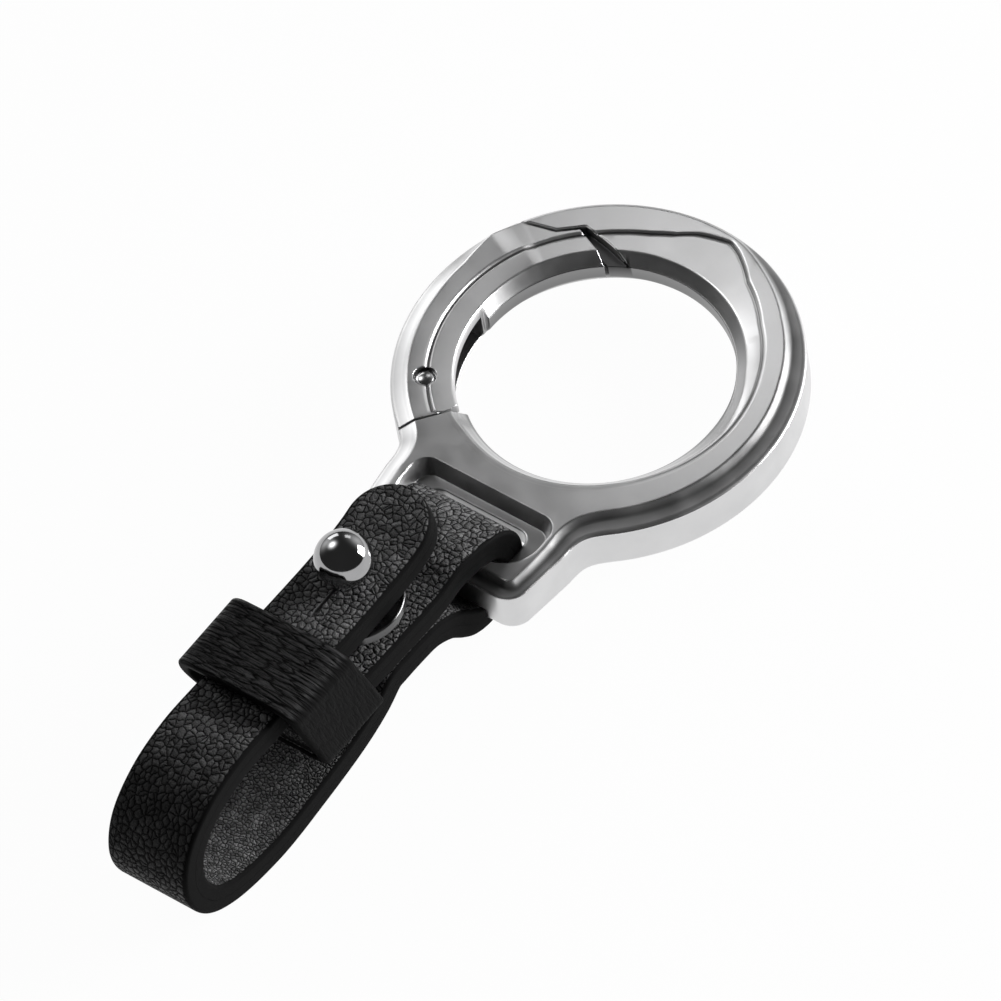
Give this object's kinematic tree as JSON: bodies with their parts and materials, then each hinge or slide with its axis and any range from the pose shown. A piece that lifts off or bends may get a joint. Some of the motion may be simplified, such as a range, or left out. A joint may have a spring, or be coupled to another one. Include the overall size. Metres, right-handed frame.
{
  "type": "leather keychain",
  "caption": "Keychain with a round spring-gate snap ring in satin metal and a black leather belt-loop strap closed by a ball stud and a sliding leather keeper.",
  "frame": {"origin": "middle of the bounding box in X and Y, at its lowest level, where the strap's loop meets the surface", "axes": "+Y from the strap's loop to the ring's far end, +Z out of the ring's front face, +X to the right seen from the front with the ring up"},
  "size_m": [0.045, 0.1028, 0.0266],
  "materials": {
    "satin_pewter": "satin plated zinc alloy, finely blasted, with brighter worn edges",
    "spring_steel": "bright drawn steel",
    "black_chrome": "polished dark chrome",
    "black_leather": "pebbled black leather with painted edges"
  },
  "bodies": {
    "ring": {"ring_body": "satin_pewter", "gate_pin": "spring_steel"},
    "gate": {"gate": "satin_pewter", "gate_spring": "spring_steel"},
    "strap": {"strap_face": "black_leather", "strap_lining": "black_leather", "ball_stud": "black_chrome", "stud_screw": "black_chrome"},
    "keeper": {"keeper": "black_leather"}
  },
  "joints": [
    {"name": "gate_hinge", "type": "hinge", "parent": "ring", "child": "gate", "pos_m": [-0.01511, 0.01793, 0.00685], "axis": [0, 0, 1], "range_deg": [-35, 0], "stiffness_Nm_per_rad": 0.04, "springref_deg": 28.65, "deforming": ["gate_spring"]},
    {"name": "strap_swing", "type": "hinge", "parent": "ring", "child": "strap", "pos_m": [0, 0.00012, 0.00687], "axis": [1, 0, 0], "range_deg": [-60, 90]},
    {"name": "keeper_slide", "type": "slide", "parent": "strap", "child": "keeper", "axis": [0, 1, 0], "range_m": [-0.006, 0]}
  ]
}
